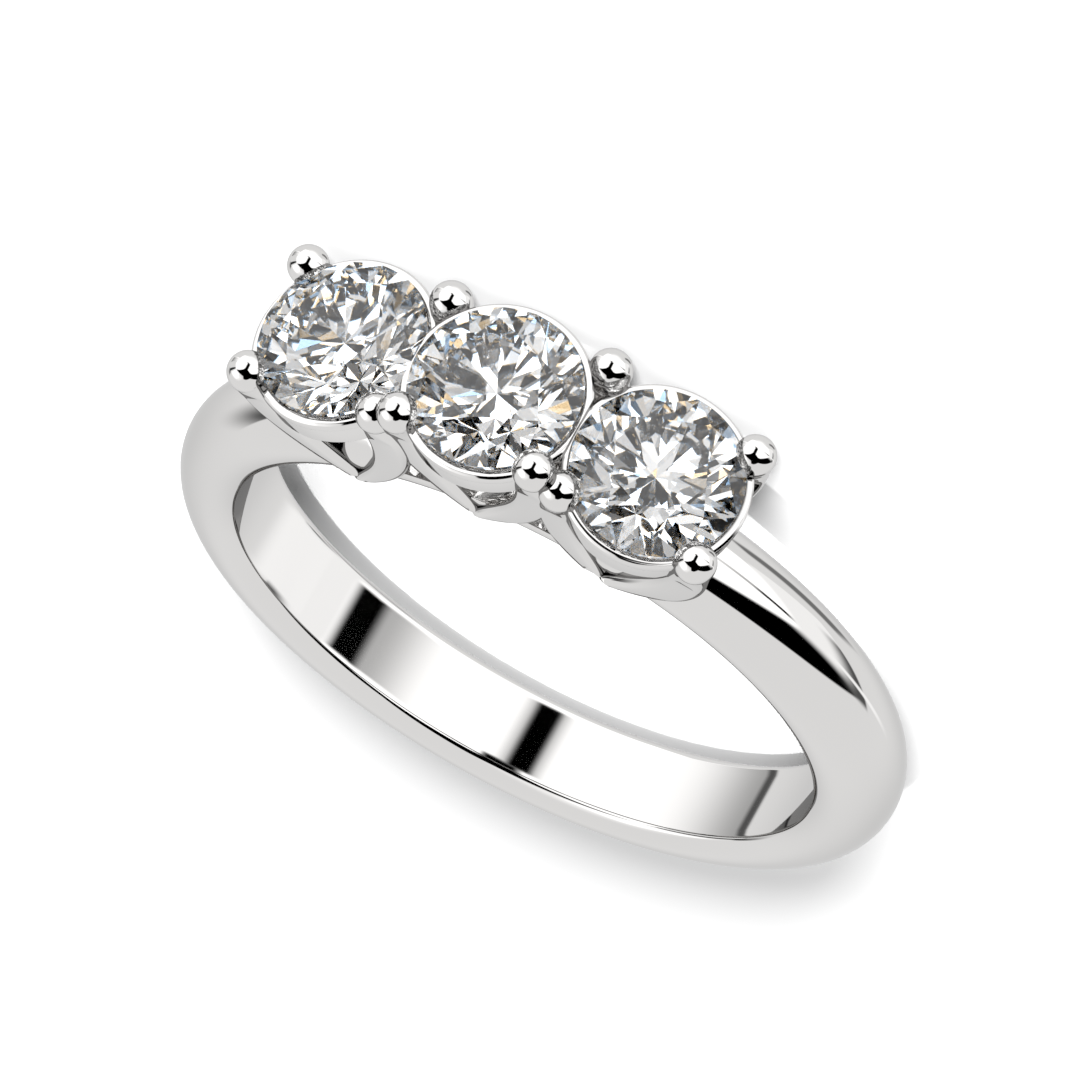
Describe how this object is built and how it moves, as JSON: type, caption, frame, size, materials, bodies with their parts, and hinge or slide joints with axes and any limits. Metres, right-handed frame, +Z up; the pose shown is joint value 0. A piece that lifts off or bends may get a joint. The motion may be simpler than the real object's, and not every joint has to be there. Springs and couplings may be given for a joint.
{
  "type": "three stone ring",
  "caption": "Finger ring with a slim rounded band and a row of round brilliant stones held in collets by slender curved prongs with ball tips.",
  "frame": {"origin": "centre of the finger hole, midway between the band's two sides", "axes": "The ring lies on its side. +Z is up, close to the finger hole's axis, which leans 2.6 degrees towards +Y. The stones are at -Y. +X is the side of the left stone."},
  "size_m": [0.0204, 0.024, 0.0049],
  "materials": {
    "white_metal": "polished",
    "clear_stone": "clear, cut and polished"
  },
  "bodies": {
    "root": {"mount": "white_metal", "stone_left": "clear_stone", "stone_centre": "clear_stone", "stone_right": "clear_stone"}
  },
  "joints": []
}
